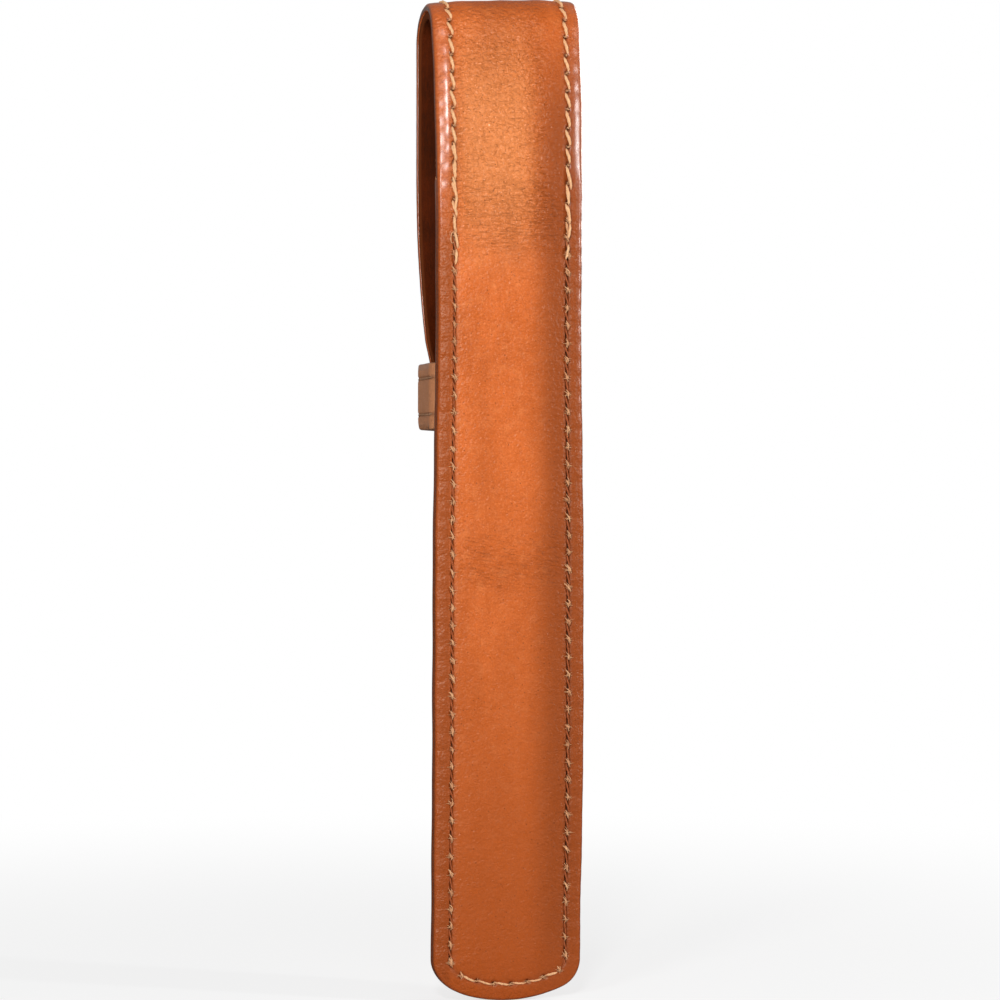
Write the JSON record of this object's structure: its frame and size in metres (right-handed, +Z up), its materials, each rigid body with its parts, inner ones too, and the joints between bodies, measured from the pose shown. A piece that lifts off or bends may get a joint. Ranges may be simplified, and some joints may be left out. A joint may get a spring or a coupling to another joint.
{
  "type": "single pen sleeve",
  "caption": "Slim stitched leather sleeve for one pen: moulded pocket, strap looped over the mouth and down the front, tongue tucked under a keeper band.",
  "frame": {"origin": "middle of the width and of the depth, at the lowest point of the rounded bottom edge", "axes": "+Z up along the sleeve to its loop; +X across its width, to the right seen from the back; -Y out of its flat back, +Y out of the front with the pocket, flap and keeper"},
  "size_m": [0.026, 0.019, 0.165],
  "materials": {
    "tan_leather": "aniline-dyed full-grain cowhide, semi-gloss, fine pebble grain",
    "panel_leather": "the same hide, moulded, semi-gloss",
    "lining_leather": "thin smooth lining leather, matt, darker brown",
    "keeper_leather": "thin strap leather, satin",
    "thread": "waxed bonded polyester thread, cream"
  },
  "bodies": {
    "sleeve": {"back_leather": "tan_leather", "neck_lining": "lining_leather", "pocket_panel": "panel_leather", "keeper_leather": "keeper_leather", "keeper_lining": "lining_leather", "seam_stitches_left": "thread", "seam_stitches_right": "thread", "seam_stitches_bottom": "thread", "mouth_stitches": "thread", "neck_stitches": "thread", "keeper_stitches_upper": "thread", "keeper_stitches_lower": "thread"},
    "loop_rear": {"loop_rear_leather": "tan_leather", "loop_rear_lining": "lining_leather", "loop_rear_stitches": "thread"},
    "loop_top": {"loop_top_leather": "tan_leather", "loop_top_lining": "lining_leather", "loop_top_stitches": "thread"},
    "loop_front": {"loop_front_leather": "tan_leather", "loop_front_lining": "lining_leather", "loop_front_stitches": "thread"},
    "flap_root": {"flap_root_leather": "tan_leather", "flap_root_lining": "lining_leather", "flap_root_stitches": "thread"},
    "flap_upper": {"flap_upper_leather": "tan_leather", "flap_upper_lining": "lining_leather", "flap_upper_stitches": "thread"},
    "flap_lower": {"flap_lower_leather": "tan_leather", "flap_lower_lining": "lining_leather", "flap_lower_stitches": "thread"},
    "tongue": {"tongue_leather": "tan_leather", "tongue_lining": "lining_leather", "tongue_stitches": "thread"}
  },
  "joints": [
    {"name": "flap_open", "type": "hinge", "parent": "sleeve", "child": "loop_rear", "pos_m": [0, -0.00552, 0.16196], "axis": [1, 0, 0], "range_deg": [0, 41.75], "deforming": ["tongue_leather", "tongue_lining", "tongue_stitches"]},
    {"name": "loop_fold_2", "type": "hinge", "parent": "loop_rear", "child": "loop_top", "pos_m": [0, -0.00152, 0.16478], "axis": [1, 0, 0], "range_deg": [0, 41.75]},
    {"name": "loop_fold_3", "type": "hinge", "parent": "loop_top", "child": "loop_front", "pos_m": [0, 0.00334, 0.16423], "axis": [1, 0, 0], "range_deg": [0, 41.75]},
    {"name": "loop_fold_4", "type": "hinge", "parent": "loop_front", "child": "flap_root", "pos_m": [0, 0.0066, 0.16058], "axis": [1, 0, 0], "range_deg": [0, 41.75]},
    {"name": "flap_bow", "type": "hinge", "parent": "flap_root", "child": "flap_upper", "pos_m": [0, 0.00705, 0.1476], "axis": [1, 0, 0], "range_deg": [0, 64]},
    {"name": "bow_knee", "type": "hinge", "parent": "flap_upper", "child": "flap_lower", "pos_m": [0, 0.00425, 0.1276], "axis": [1, 0, 0], "range_deg": [-128, 0]},
    {"name": "tongue_level", "type": "hinge", "parent": "flap_lower", "child": "tongue", "pos_m": [0, 0.00705, 0.1076], "axis": [1, 0, 0], "range_deg": [0, 64]}
  ],
  "couplings": [
    {"joint": "loop_fold_2", "follows": "flap_open", "ratio": 1},
    {"joint": "loop_fold_3", "follows": "flap_open", "ratio": 1},
    {"joint": "loop_fold_4", "follows": "flap_open", "ratio": 1},
    {"joint": "bow_knee", "follows": "flap_bow", "ratio": -2},
    {"joint": "tongue_level", "follows": "flap_bow", "ratio": 1}
  ]
}
